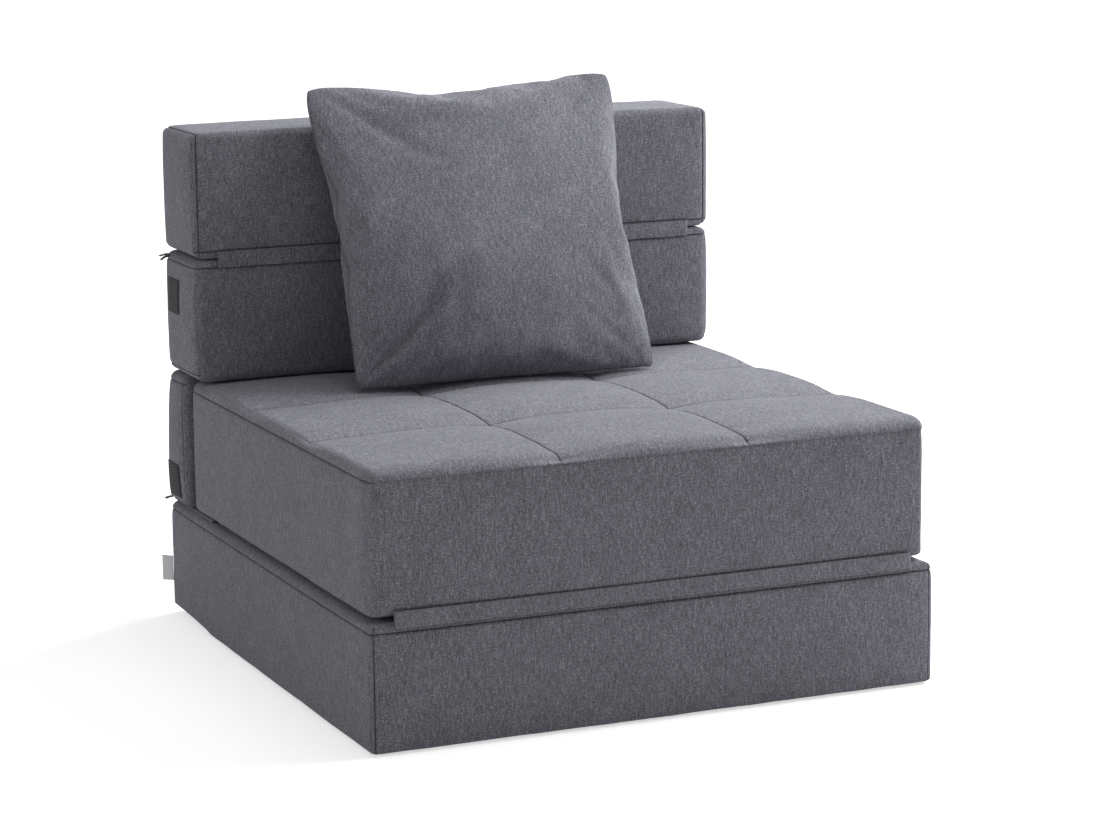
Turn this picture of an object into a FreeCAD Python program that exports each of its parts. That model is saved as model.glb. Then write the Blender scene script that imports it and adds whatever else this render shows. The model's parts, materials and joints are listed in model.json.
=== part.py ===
import FreeCAD, Part

import math
import os

from FreeCAD import Vector

# Convertible chair bed: four upholstered foam blocks and a thin rear panel, joined by cloth
# hinges, with a loose scatter cushion. All lengths in millimetres.
# Origin: middle of the base block's underside. The chair faces -Y, and +Z is up.

# Base block, the foot half of the bed, which the seat is stacked on
base_width = 740.0
base_depth = 775.0
base_height = 155.5

# Seat block: a boxed cover with a quilted top panel
seat_width = 731.0
seat_depth = 681.5
seat_setback = 7.5
seat_side_height = 162.5
seat_crown = 22.5
quilt_rows = 3
quilt_columns = 3
channel_depth = 5.0
channel_half_width = 52.0
# where the flank of a channel turns from steep to level: its share of the width and of the depth
channel_knee = (0.42, 0.72)

# Back: the lower and the upper block, one above the other, over the rear of the seat
back_width = 740.0
back_thickness = 134.5
back_on_seat = 63.0
lower_back_height = 161.0
upper_back_height = 168.5

# Rear panel, which stands behind the seat and carries the lower back block
panel_depth = 95.0
panel_lean = 18.0
panel_gap = 5.0
panel_bow = 4.0

# How the covers are made: cloth over a wadding wrap, with rounded and crowned faces
cover_wall = 7.0
edge_radius = 11.0
foot_radius = 4.0
end_radius = 10.0
end_bow = 5.0
# the middle of an end is flat up to this share of the block's thickness from its edges
end_flat = 0.16
front_crown = 3.0
top_roll = 26.0
top_bow = 8.0

# Clearances
cloth_gap = 0.3
foam_gap = 0.3
hinge_gap = 0.6
flap_gap = 0.5

# Cloth hinges
strip_from_end = 27.5
strip_thickness = 1.2
flap_thickness = 1.5
flap_from_end = 3.5
flap_under_seat = 80.0

# Zips, sunk in a channel of each cover's rear face
zip_from_end = 45.5
zip_channel_width = 28.0
zip_channel_depth = 3.4
tape_width = 26.0
tape_thickness = 0.8
chain_width = 5.0
chain_height = 1.7
slider_length = 14.0
slider_width = 10.0
slider_tail_width = 7.5
slider_height = 3.4
slider_corner = 2.0
slider_gap = 0.3
lock_rib = (7.0, 2.4, 0.6)
zip_end = 12.0
zip_slack = 1.0
stop_length = 4.0
stop_proud = (0.6, 0.4)

# Hook-and-loop patches on the sides of the back, the same way from the fold between its parts
patch_length = 52.0
patch_height = 46.0
patch_thickness = 1.5
patch_corner = 4.0
patch_from_fold = 106.0
patch_from_rear = 48.0
panel_patch_from_fold = 146.0
panel_patch_from_rear = 48.0

# Blank label sewn in the base's rear left corner
tag_length = 17.0
tag_height = 34.0
tag_thickness = 1.0
tag_bottom = 44.0

# Scatter cushion, leaning on the back
cushion_width = 436.0
cushion_height = 409.0
cushion_thickness = 120.0
cushion_draw_in = 17.0
cushion_lean = 20.8
cushion_foot_from_back = 160.0
cushion_cloth = 2.0
cushion_hem = 14.0
# how full the cushion stays towards its edges, from 1 for an ellipse to 2 for a slack one
cushion_fall = 1.2
cushion_facets = 16
filling_facets = 10

# Lengths across the chair, which follow the narrowest block
narrowest = min(base_width, seat_width, back_width)
strip_width = narrowest - 2 * strip_from_end
flap_width = narrowest - 2 * flap_from_end
zip_length = narrowest - 2 * zip_from_end

# Levels and faces worked out from the sizes above
base_front = -base_depth / 2
base_rear = base_depth / 2
seat_bottom = base_height + flap_gap + flap_thickness + cloth_gap
seat_front = base_front + seat_setback
seat_rear = seat_front + seat_depth
seat_seam = seat_bottom + seat_side_height
seat_top = seat_seam + seat_crown
back_front = seat_rear - back_on_seat
back_rear = back_front + back_thickness
seat_middle = (seat_front + seat_rear) / 2
# the crown has fallen this far where the back's front edge comes down on it
crown_fall = top_bow * ((back_front - seat_middle) / (seat_depth / 2)) ** 2
lower_bottom = seat_top - crown_fall + cloth_gap
lower_top = lower_bottom + lower_back_height
upper_bottom = lower_top + hinge_gap
upper_top = upper_bottom + upper_back_height
panel_front = seat_rear + panel_gap
panel_rear = panel_front + panel_depth
panel_bottom = seat_bottom
panel_top = lower_bottom - cloth_gap


def bowed_side(start, end, outward, bow):
    """A straight side, or an arc that stands out by the bow at its middle."""
    if bow == 0:
        return Part.LineSegment(start, end).toShape()
    middle = (start + end) * 0.5 + outward * bow
    return Part.Arc(start, middle, end).toShape()


def block_outline(x, low, high, radii, bows, lean):
    """A rounded rectangle in the plane at x, with bowed sides, whose rear side leans forward.

    radii are those of the bottom and of the top edges.
    """
    front_bow, rear_bow, bottom_bow, top_bow_here = bows
    below, above = radii
    front = low[0] + front_bow
    rear = high[0] - rear_bow
    bottom = low[1] + bottom_bow
    top = high[1] - top_bow_here
    rear_top = rear - lean
    low_cut = below * (1 - math.sqrt(0.5))
    high_cut = above * (1 - math.sqrt(0.5))

    def at(y, z):
        return Vector(x, y, z)

    edges = [
        bowed_side(at(front, bottom + below), at(front, top - above), Vector(0, -1, 0), front_bow),
        Part.Arc(
            at(front, top - above), at(front + high_cut, top - high_cut), at(front + above, top)
        ).toShape(),
        bowed_side(at(front + above, top), at(rear_top - above, top), Vector(0, 0, 1), top_bow_here),
        Part.Arc(
            at(rear_top - above, top), at(rear_top - high_cut, top - high_cut), at(rear_top, top - above)
        ).toShape(),
        bowed_side(at(rear_top, top - above), at(rear, bottom + below), Vector(0, 1, 0), rear_bow),
        Part.Arc(
            at(rear, bottom + below), at(rear - low_cut, bottom + low_cut), at(rear - below, bottom)
        ).toShape(),
        bowed_side(at(rear - below, bottom), at(front + below, bottom), Vector(0, 0, -1), bottom_bow),
        Part.Arc(
            at(front + below, bottom), at(front + low_cut, bottom + low_cut), at(front, bottom + below)
        ).toShape(),
    ]
    return Part.Wire(edges)


def soft_block(width, low, high, radii, end, bows, lean=0.0, stand_out=0.0):
    """A padded block along X between two corners (y, z): crowned faces that fall off to rounded ends.

    The bows are how far the front, rear, bottom and top stand out at the middle, and stand_out
    is how far the middle of each end stands out past the seams round it.
    """
    half = width / 2
    least = min(high[0] - low[0] - lean, high[1] - low[1])
    # each ring: its distance in from the end, and how far its outline is drawn in there
    rings = []
    if stand_out > 0:
        rings = [(-stand_out, end_flat * least), (-0.6 * stand_out, 0.4 * end_flat * least)]
    rings += [(0.0, 0.62 * end), (0.2 * end, 0.22 * end), (end, 0.0), (half / 2, 0.0)]
    stations = [(x - half, inset) for x, inset in rings]
    stations += [(0.0, 0.0)]
    stations += [(half - x, inset) for x, inset in reversed(rings)]
    wires = []
    for x, inset in stations:
        fall = max(0.25, 0.25 + 0.75 * (1 - (x / half) ** 2))
        here = [bow * fall for bow in bows]
        drop = [bow - now for bow, now in zip(bows, here)]
        ring_low = (low[0] + drop[0] + inset, low[1] + drop[2] + inset)
        ring_high = (high[0] - drop[1] - inset, high[1] - drop[3] - inset)
        wires.append(block_outline(x, ring_low, ring_high, radii, here, lean))
    return Part.makeLoft(wires, True, True, False)


def box(x0, x1, y0, y1, z0, z1):
    return Part.makeBox(x1 - x0, y1 - y0, z1 - z0, Vector(x0, y0, z0))


def foam_block(width, low, high, wall):
    """A square-cut block that fills what a cover leaves, by the wall that it keeps all round."""
    half = width / 2 - wall
    return box(-half, half, low[0] + wall, high[0] - wall, low[1] + wall, high[1] - wall)


def zip_channel(place):
    """The sunk channel for a zip, placed by the rear face's y and the height of the chain."""
    rear, height = place
    half = zip_channel_width / 2
    reach = zip_length / 2 + zip_slack
    return box(-reach, reach, rear - zip_channel_depth, rear + end_radius, height - half, height + half)


def zip_tape(place):
    """Two cloth tapes with the closed chain between them and a stop at each end."""
    rear, height = place
    floor = rear - zip_channel_depth
    half = zip_length / 2
    chain_half = half - zip_end
    tape = box(-half, half, floor, floor + tape_thickness, height - tape_width / 2, height + tape_width / 2)
    top = floor + tape_thickness + chain_height
    chain = box(
        -chain_half, chain_half, floor, top, height - chain_width / 2, height + chain_width / 2
    )
    solid = tape.fuse(chain)
    for side in (-1, 1):
        middle = side * (chain_half + stop_length / 2)
        stop = box(
            middle - stop_length / 2,
            middle + stop_length / 2,
            floor,
            top + stop_proud[1],
            height - chain_width / 2 - stop_proud[0],
            height + chain_width / 2 + stop_proud[0],
        )
        solid = solid.fuse(stop)
    return solid.removeSplitter()


def slider_start():
    """The slider's middle at the closed end of its chain, clear of the stop."""
    return -(zip_length / 2 - zip_end) + slider_length / 2 + zip_slack


def zip_slider(place):
    """A locking slider with no pull tab: a wedge-shaped body that bridges the chain."""
    rear, height = place
    bottom = rear - zip_channel_depth + tape_thickness + slider_gap
    top = bottom + slider_height
    x = slider_start()
    nose = x + slider_length / 2
    tail = x - slider_length / 2
    shoulder = nose - slider_length * 0.4
    outline = [
        (tail, -slider_tail_width / 2),
        (shoulder, -slider_width / 2),
        (nose - slider_corner, -slider_width / 2),
        (nose, -slider_width / 2 + slider_corner),
        (nose, slider_width / 2 - slider_corner),
        (nose - slider_corner, slider_width / 2),
        (shoulder, slider_width / 2),
        (tail, slider_tail_width / 2),
    ]
    points = [Vector(px, bottom, height + pz) for px, pz in outline]
    body = Part.Face(Part.makePolygon(points + points[:1])).extrude(Vector(0, top - bottom, 0))
    clear = chain_width / 2 + slider_gap
    chain_top = rear - zip_channel_depth + tape_thickness + chain_height + slider_gap
    tunnel = box(tail - 1, nose + 1, bottom - 1, chain_top, height - clear, height + clear)
    # a low rib along the slider's back, where the lock pin sits
    rib_length, rib_width, rib_height = lock_rib
    rib = box(
        x - rib_length / 2,
        x + rib_length / 2,
        top,
        top + rib_height,
        height - rib_width / 2,
        height + rib_width / 2,
    )
    return body.cut(tunnel).fuse(rib).removeSplitter()


def covered_block(width, low, high, bows, lean=0.0, zip_at=None, below=edge_radius):
    """A cover with its zip channel and the foam block inside it."""
    outer = soft_block(width, low, high, (below, edge_radius), end_radius, bows, lean, end_bow)
    inner_high = (high[0] - lean, high[1])
    cavity = foam_block(width, low, inner_high, cover_wall)
    foam = foam_block(width, low, inner_high, cover_wall + foam_gap)
    cover = outer.cut(cavity)
    if zip_at:
        cover = cover.cut(zip_channel(zip_at))
    return cover, foam


def base_parts():
    """The base block, flat where it stands and where the seat lies on it."""
    low = (base_front, 0.0)
    high = (base_rear, base_height)
    place = (base_rear, base_height / 2)
    bows = (front_crown, 0.0, 0.0, 0.0)
    cover, foam = covered_block(base_width, low, high, bows, zip_at=place, below=foot_radius)
    return {
        "base_cover": cover,
        "base_foam": foam,
        "base_zip_tape": zip_tape(place),
        "base_zip_slider": zip_slider(place),
    }


def quilt_lines(low, high, count):
    """Where the channels run that part a length into equal panels."""
    return [low + (high - low) * i / count for i in range(1, count)]


def channel_cutter(at, along_y, middle, half_length, fall):
    """A ring segment with a two-arc valley section, which follows the crown of the seat.

    at is where the channel lies across, middle and half_length say where it runs, and fall is
    how far the crown drops from the middle to the ends.
    """
    crown_radius = half_length ** 2 / (2 * fall)
    # the cutter reaches a little past the channel's rim, and up clear of the panel
    rise = 0.5
    reach = channel_half_width * 1.05
    lid = seat_crown
    overrun = 40.0
    knee_across, knee_up = channel_knee
    ground = seat_top - channel_depth

    def point(across, up):
        if along_y:
            return Vector(at + across, middle, ground + up)
        return Vector(middle, at + across, ground + up)

    edges = []
    for side in (-1, 1):
        foot = point(0.0, 0.0)
        rim = point(side * reach, channel_depth + rise)
        # the flank is steep at the stitch line and levels out towards the panel's middle
        knee = point(side * reach * knee_across, channel_depth * knee_up)
        edges.append(Part.Arc(foot, knee, rim).toShape())
        edges.append(Part.LineSegment(rim, point(side * reach, lid)).toShape())
    edges.append(Part.LineSegment(point(-reach, lid), point(reach, lid)).toShape())
    face = Part.Face(Part.Wire(Part.__sortEdges__(edges)))
    turn = math.degrees((half_length + overrun) / crown_radius)
    if along_y:
        centre = Vector(at, middle, ground - crown_radius)
        axis = Vector(1, 0, 0)
    else:
        centre = Vector(middle, at, ground - crown_radius)
        axis = Vector(0, 1, 0)
    face.rotate(centre, axis, -turn)
    return face.revolve(centre, axis, 2 * turn)


def seat_parts():
    """The seat's boxed cover, its quilted top panel and its foam."""
    low = (seat_front, seat_bottom)
    high = (seat_rear, seat_seam + edge_radius + front_crown)
    place = (seat_rear, seat_bottom + seat_side_height / 2)
    bows = (front_crown, 0.0, 0.0, 0.0)
    edges = (edge_radius, edge_radius)
    whole = soft_block(seat_width, low, high, edges, end_radius, bows, stand_out=end_bow)
    below = box(-base_width, base_width, -base_depth, base_depth, 0, seat_seam)
    # the foam reaches up to the quilted panel, so it has a cover's wall on its other sides only
    foam_high = (seat_rear, seat_seam + cover_wall)
    cavity = foam_block(seat_width, low, foam_high, cover_wall)
    foam = foam_block(seat_width, low, foam_high, cover_wall + foam_gap)
    cover = whole.common(below).cut(cavity).cut(zip_channel(place))

    panel_low = (seat_front, seat_seam - 4 * top_roll)
    panel_high = (seat_rear, seat_top)
    bows = (front_crown, 0.0, 0.0, top_bow)
    panel = soft_block(seat_width, panel_low, panel_high, (top_roll, top_roll), top_roll, bows)
    above = box(-base_width, base_width, -base_depth, base_depth, seat_seam, seat_top + 1)
    panel = panel.common(above)
    for x in quilt_lines(-seat_width / 2, seat_width / 2, quilt_columns):
        panel = panel.cut(channel_cutter(x, True, seat_middle, seat_depth / 2, top_bow))
    for y in quilt_lines(seat_front, seat_rear, quilt_rows):
        panel = panel.cut(channel_cutter(y, False, 0.0, seat_width / 2, top_bow))
    return {
        "seat_cover": cover,
        "seat_quilted_top": panel,
        "seat_foam": foam,
        "seat_zip_tape": zip_tape(place),
        "seat_zip_slider": zip_slider(place),
    }


def back_parts():
    """The rear panel and the lower and upper back blocks, each a cover round its foam."""
    parts = {}
    panel_cover, panel_foam = covered_block(
        back_width,
        (panel_front, panel_bottom),
        (panel_rear, panel_top),
        (0.0, panel_bow, 0.0, 0.0),
        lean=panel_lean,
    )
    parts["rear_panel_cover"] = panel_cover
    parts["rear_panel_foam"] = panel_foam
    levels = {"lower_back": (lower_bottom, lower_top), "upper_back": (upper_bottom, upper_top)}
    for name, (bottom, top) in levels.items():
        place = (back_rear, (bottom + top) / 2)
        top_crown = front_crown if name == "upper_back" else 0.0
        cover, foam = covered_block(
            back_width,
            (back_front, bottom),
            (back_rear, top),
            (front_crown, 0.0, 0.0, top_crown),
            zip_at=place,
        )
        parts[name + "_cover"] = cover
        parts[name + "_foam"] = foam
        parts[name + "_zip_tape"] = zip_tape(place)
        parts[name + "_zip_slider"] = zip_slider(place)
    return parts


def hinge_strip(lower, upper):
    """A cloth strip across the chair that is drawn tight over two rounded edges.

    lower and upper are the roundings, each by its centre's y and z and its radius. The strip
    lies along the line that touches both on the chair's front side.
    """
    low_centre = Vector(0, lower[0], lower[1])
    high_centre = Vector(0, upper[0], upper[1])
    low_radius = lower[2] + cloth_gap
    high_radius = upper[2] + cloth_gap
    apart = high_centre - low_centre
    tilt = math.asin((low_radius - high_radius) / apart.Length)
    apart.normalize()
    front = Vector(0, -apart.z, apart.y)
    out = front * math.cos(tilt) + apart * math.sin(tilt)
    side = Vector(-strip_width / 2, 0, 0)
    start = low_centre + side + out * low_radius
    end = high_centre + side + out * high_radius
    skin = out * strip_thickness
    corners = [start, end, end + skin, start + skin, start]
    return Part.Face(Part.makePolygon(corners)).extrude(Vector(strip_width, 0, 0))


def hinge_parts():
    """The cloth strips that join the blocks, and the flap that joins the rear panel to the seat."""
    inset = front_crown + edge_radius
    # the seat stands back from the base, so the strip meets the seat where its rounding ends
    front_strip = hinge_strip(
        (base_front + inset, base_height - edge_radius, edge_radius),
        (seat_front + front_crown, seat_bottom + edge_radius, 0.0),
    )
    back_strip = hinge_strip(
        (back_front + inset, lower_top - edge_radius, edge_radius),
        (back_front + inset, upper_bottom + edge_radius, edge_radius),
    )
    flap_top = seat_bottom - cloth_gap
    flap = box(
        -flap_width / 2,
        flap_width / 2,
        seat_rear - flap_under_seat,
        panel_rear - edge_radius,
        flap_top - flap_thickness,
        flap_top,
    )
    return {"front_hinge_strip": front_strip, "back_hinge_strip": back_strip, "rear_hinge_flap": flap}


def loop_patch(side, y, z):
    """A rounded square of hook-and-loop tape on the flat middle of one end of the back."""
    inner = side * (back_width / 2 + end_bow + cloth_gap)
    half_length = patch_length / 2
    half_height = patch_height / 2
    x0, x1 = sorted((inner, inner + side * patch_thickness))
    patch = box(x0, x1, y - half_length, y + half_length, z - half_height, z + half_height)
    corners = [edge for edge in patch.Edges if edge.BoundBox.XLength > patch_thickness / 2]
    return patch.makeFillet(patch_corner, corners)


def patch_parts():
    parts = {}
    for name, side in (("left", -1), ("right", 1)):
        parts[name + "_upper_loop_patch"] = loop_patch(
            side, back_rear - patch_from_rear, lower_bottom + patch_from_fold
        )
        parts[name + "_lower_loop_patch"] = loop_patch(
            side, panel_rear - panel_patch_from_rear, panel_top - panel_patch_from_fold
        )
    return parts


def blank_tag():
    """A folded ribbon with nothing on it, sewn in the corner seam between the base's side and rear."""
    corner = Vector(-base_width / 2, base_rear, tag_bottom)
    tag = box(0, tag_length, -tag_thickness / 2, tag_thickness / 2, 0, tag_height)
    tag.rotate(Vector(0, 0, 0), Vector(0, 0, 1), 135)
    inward = Vector(1, -1, 0)
    tag.translate(corner + inward * (end_radius * 0.17))
    return tag


def cushion_skin(side, width, height, thickness, facets):
    """The points of one skin of the cushion, drawn in along its sides and full in its middle."""
    steps = [math.sin(math.radians(90.0 * (2 * i / facets - 1))) for i in range(facets + 1)]
    rows = []
    for across in steps:
        row = []
        for up in steps:
            x = across * (width / 2 - cushion_draw_in * (1 - up ** 2))
            z = up * (height / 2 - cushion_draw_in * (1 - across ** 2))
            fullness = max(0.0, (1 - across ** 2) * (1 - up ** 2)) ** (cushion_fall / 2)
            row.append(Vector(x, side * thickness / 2 * fullness, height / 2 + z))
        rows.append(row)
    return rows


def cushion_form(width, height, thickness, facets):
    """A cushion with four ears standing on the origin: two full skins that meet in a knife edge."""
    faces = []
    for side in (-1, 1):
        rows = cushion_skin(side, width, height, thickness, facets)
        for i in range(facets):
            for j in range(facets):
                a, b = rows[i][j], rows[i + 1][j]
                c, d = rows[i + 1][j + 1], rows[i][j + 1]
                # each small panel is creased towards the nearest ear, so that the ears stay open
                if (i < facets / 2) == (j < facets / 2):
                    corners = [(a, b, c), (a, c, d)]
                else:
                    corners = [(a, b, d), (b, c, d)]
                faces += [Part.Face(Part.makePolygon([p, q, r, p])) for p, q, r in corners]
    shell = Part.makeShell(faces)
    shell.sewShape()
    solid = Part.Solid(shell)
    if solid.Volume < 0:
        solid.reverse()
    return solid


def place_cushion(shape, drop, push):
    shape.rotate(Vector(0, 0, 0), Vector(1, 0, 0), -cushion_lean)
    shape.translate(Vector(0, back_front - cushion_foot_from_back + push, seat_top + drop))
    return shape


def settle(cushion, seat, back):
    """How far to lower and push back the cushion so that it rests on the seat and leans on the back."""
    drop = 0.0
    push = 0.0
    for _ in range(3):
        fall = cushion.distToShape(seat)[0] - cloth_gap
        cushion.translate(Vector(0, 0, -fall))
        drop -= fall
        slide = cushion.distToShape(back)[0] - cloth_gap
        cushion.translate(Vector(0, slide, 0))
        push += slide
    return drop, push


def cushion_parts(seat, back):
    outer = cushion_form(cushion_width, cushion_height, cushion_thickness, cushion_facets)
    trim = 2 * cushion_hem
    inner_size = (cushion_width - trim, cushion_height - trim, cushion_thickness - 2 * cushion_cloth)
    cavity = cushion_form(*inner_size, filling_facets)
    cavity.translate(Vector(0, 0, cushion_hem))
    filling_size = [size - 2 * foam_gap for size in inner_size]
    filling = cushion_form(*filling_size, filling_facets)
    filling.translate(Vector(0, 0, cushion_hem + foam_gap))
    # the trial starts clear of the seat and of the back
    clear = cushion_thickness / 2
    trial = place_cushion(outer.copy(), clear, -clear)
    drop, push = settle(trial, seat, back)
    drop += clear
    push -= clear
    cover = place_cushion(outer.cut(cavity), drop, push)
    filling = place_cushion(filling, drop, push)
    return {"cushion_cover": cover, "cushion_filling": filling}


def build():
    parts = {}
    parts.update(base_parts())
    parts.update(seat_parts())
    parts.update(back_parts())
    parts.update(hinge_parts())
    parts.update(patch_parts())
    parts["blank_label_tag"] = blank_tag()
    back = Part.makeCompound([parts["lower_back_cover"], parts["upper_back_cover"]])
    parts.update(cushion_parts(parts["seat_quilted_top"], back))
    return parts


os.makedirs("parts", exist_ok=True)
for name, shape in build().items():
    shape.exportStep("parts/" + name + ".step")
    print(name, shape.isValid(), len(shape.Solids), round(shape.Volume / 1000.0, 2), "cm3")
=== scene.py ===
import itertools
import json
import math

import bpy
import numpy as np
from mathutils import Matrix, Vector, noise
from mathutils.bvhtree import BVHTree


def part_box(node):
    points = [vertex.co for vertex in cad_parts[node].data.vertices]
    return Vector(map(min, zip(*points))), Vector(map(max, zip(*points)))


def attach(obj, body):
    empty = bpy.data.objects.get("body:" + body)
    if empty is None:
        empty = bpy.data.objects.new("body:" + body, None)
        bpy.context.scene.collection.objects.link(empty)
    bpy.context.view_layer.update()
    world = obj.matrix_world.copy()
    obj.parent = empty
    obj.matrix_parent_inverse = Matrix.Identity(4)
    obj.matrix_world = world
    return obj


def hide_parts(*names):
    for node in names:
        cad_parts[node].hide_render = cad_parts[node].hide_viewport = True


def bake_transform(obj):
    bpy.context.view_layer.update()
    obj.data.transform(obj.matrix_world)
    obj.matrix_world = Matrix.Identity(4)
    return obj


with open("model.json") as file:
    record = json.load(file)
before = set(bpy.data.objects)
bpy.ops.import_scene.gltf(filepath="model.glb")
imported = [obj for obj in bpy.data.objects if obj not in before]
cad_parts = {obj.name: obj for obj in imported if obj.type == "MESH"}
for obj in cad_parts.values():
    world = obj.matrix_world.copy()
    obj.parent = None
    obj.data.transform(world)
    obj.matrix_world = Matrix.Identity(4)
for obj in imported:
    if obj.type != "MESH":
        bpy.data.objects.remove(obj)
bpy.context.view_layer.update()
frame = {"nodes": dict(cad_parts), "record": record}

# Convertible chair bed in a bluish-grey melange cloth. All lengths in metres, in the frame of the
# construction model: the chair faces -Y, +Z is up.

# How finely the covers are meshed
CLOTH_STEP = 0.008
ROUND_STEPS = 6
# offsets of the mesh lines that resolve a sewn seam, and how far other lines stay from it
SEAM_LINES = (0.0, 0.0007, 0.0016, 0.0032, 0.006)
SEAM_CLEAR = 1.4 * SEAM_LINES[-1]
# the two mesh lines that make the wall of a sunk channel, and how far other lines stay from it
WALL_HALF = 0.0003
WALL_CLEAR = 0.002

# Cloth over wadding: depth and length of its slow unevenness and of its finer slack
WADDING_WAVE = (0.0010, 0.11)
SLACK_WAVE = (0.00035, 0.028)

# Seams: how deep the thread pulls the cloth in, and how wide the dip is
SEAM_DEPTH = 0.0016
SEAM_WIDTH = 0.0018
SEAM_DIP = 0.0007
SEAM_DIP_WIDTH = 0.007
PUCKER_DEPTH = 0.0005
PUCKER_REACH = 0.010
PUCKER_END = 4 * PUCKER_REACH
PUCKER_LENGTH = 0.011
PUCKER_DRAWN = 0.25
PUCKER_SWING = 0.6
# painted shade: how wide the darkening along a seam's crease is
SEAM_SHADE_WIDTH = 0.001
# a rounded edge belongs to a side from this much of its facing, and this fast
SIDE_START = 0.25
SIDE_RISE = 3.0
# the power by which a bulge falls off towards the edges of its side
BULGE_FALL = 3.0
# how far apart the sides of a piece lie in the cloth's own coordinates
UV_APART = (1.7, 0.9)
TINY = 1e-9

# Camera, fitted to the photograph: place, heading, downward pitch and roll in radians
CAMERA_PLACE = Vector((-1.6029, -3.7505, 1.0738))
CAMERA_YAW = 0.4093
CAMERA_PITCH = 0.1853
CAMERA_ROLL = -0.0116
CAMERA_LENS = 105.96
SENSOR_WIDTH = 36.0


# Mesh helpers

def grid_lines(low, high, step, rim, seams=(), steps=()):
    """Coordinates from low to high, closer together in the rims, at the seams and at the steps."""
    count = max(2, round((high - low - 2 * rim) / step) + 1)
    lines = list(np.linspace(low + rim, high - rim, count))
    for i in range(ROUND_STEPS):
        share = math.tan(math.radians(45.0) * i / ROUND_STEPS)
        lines += [low + rim * (1 - share), high - rim * (1 - share)]
        lines += [low + rim * (1 - share) / 2, high - rim * (1 - share) / 2]
    lines += [low, high]
    for at in seams:
        lines = [v for v in lines if abs(v - at) > SEAM_CLEAR or v in (low, high)]
        lines += [at + side * offset for offset in SEAM_LINES for side in (-1, 1)]
    for at in steps:
        lines = [v for v in lines if abs(v - at) > WALL_CLEAR]
        lines += [at - WALL_HALF, at + WALL_HALF]
    lines = np.unique(np.round(np.clip(lines, low, high), 6))
    lines[0], lines[-1] = low, high
    return lines


def box_lattice(xs, ys, zs):
    """The outer points of a lattice, its quads facing outwards, and the axis that each quad faces."""
    sizes = (len(xs), len(ys), len(zs))
    i, j, k = np.indices(sizes)
    shell = (i == 0) | (i == sizes[0] - 1) | (j == 0) | (j == sizes[1] - 1) | (k == 0) | (k == sizes[2] - 1)
    number = np.full(sizes, -1)
    number[shell] = np.arange(shell.sum())
    points = np.stack([xs[i[shell]], ys[j[shell]], zs[k[shell]]], axis=1)
    quads, axes = [], []
    for axis, end in itertools.product(range(3), (0, -1)):
        side = np.take(number, end, axis=axis)
        corners = [side[:-1, :-1], side[1:, :-1], side[1:, 1:], side[:-1, 1:]]
        if (axis == 1) == (end == -1):
            corners.reverse()
        rows = np.stack(corners, axis=-1).reshape(-1, 4)
        quads.append(rows)
        axes.append(np.full(len(rows), axis))
    return points, np.concatenate(quads), np.concatenate(axes)


def rounded(points, low, high, radii_low, radii_high):
    """Points on a box moved onto the same box with rounded edges, with their outward directions."""
    core = np.clip(points, low + radii_low, high - radii_high)
    away = points - core
    radii = np.maximum(np.where(away < 0, radii_low, radii_high), 1000 * TINY)
    share = away / radii
    length = np.maximum(np.linalg.norm(share, axis=1, keepdims=True), TINY)
    reach = np.abs(share).max(axis=1, keepdims=True)
    # on a side with no rounding of its own, squares about a corner become circles about it
    share *= reach / length
    normals = share / radii
    flat = reach[:, 0] < 0.999
    normals[flat] = 0
    normals[flat & (radii_low[2] == 0) & (points[:, 2] <= low[2]), 2] = -1
    normals[flat & (radii_high[2] == 0) & (points[:, 2] >= high[2]), 2] = 1
    normals /= np.maximum(np.linalg.norm(normals, axis=1, keepdims=True), TINY)
    return core + radii * share, normals


def waves(points, length, seed):
    """Smooth random values from -1 to 1 at the points, which change over the given length."""
    shift = Vector((17.3 * seed, -9.1 * seed, 5.7 * seed))
    return np.array([noise.noise(Vector(p) / length + shift) for p in points])


def mesh_piece(name, points, faces, material, uv=None, crease_shade=None):
    """A new smooth-shaded mesh object at the origin, with the weave's UV map and the painted shade in its
    seams' creases.
    """
    mesh = bpy.data.meshes.new(name)
    mesh.from_pydata([tuple(p) for p in points], [], [tuple(int(v) for v in f) for f in faces])
    mesh.polygons.foreach_set("use_smooth", [True] * len(mesh.polygons))
    if uv is not None:
        layer = mesh.uv_layers.new(name="weave")
        layer.data.foreach_set("uv", np.asarray(uv, float).ravel())
    if crease_shade is not None:
        layer = mesh.attributes.new("crease_shade", "FLOAT", "POINT")
        layer.data.foreach_set("value", np.asarray(crease_shade, float))
    mesh.materials.append(material)
    mesh.update()
    piece = bpy.data.objects.new(name, mesh)
    bpy.context.scene.collection.objects.link(piece)
    return piece


def two_skins(rows, count):
    """The faces of a thin sheet: two skins of rows by count points each, and the rim between them."""
    other = rows * count
    faces = []
    for r, c in itertools.product(range(rows - 1), range(count - 1)):
        a = r * count + c
        quad = (a, a + 1, a + count + 1, a + count)
        faces += [quad, tuple(other + v for v in quad[::-1])]
    for c in range(count - 1):
        last = (rows - 1) * count + c
        faces.append((c + 1, c, other + c, other + c + 1))
        faces.append((last, last + 1, other + last + 1, other + last))
    for r in range(rows - 1):
        a, b = r * count, (r + 1) * count
        faces.append((a, b, other + b, other + a))
        a, b = a + count - 1, b + count - 1
        faces.append((b, a, other + a, other + b))
    return faces


def placed(piece, body, node=None):
    """A piece with the node whose place it takes, if any, and the body it rides on."""
    if node is not None:
        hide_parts(node)
    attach(piece, body)
    return piece


def weave_uv(points, faces, axes):
    """Cloth coordinates in metres: across and up on the upright sides, across and back on the flat ones."""
    across = np.where(axes == 0, 1, 0)
    up = np.where(axes == 2, 1, 2)
    corners = points[faces]
    rows = np.arange(len(faces))
    u = corners[rows, :, across] + UV_APART[0] * axes[:, None]
    v = corners[rows, :, up] + UV_APART[1] * axes[:, None]
    return np.stack([u, v], axis=-1)


# Sewn covers

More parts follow.
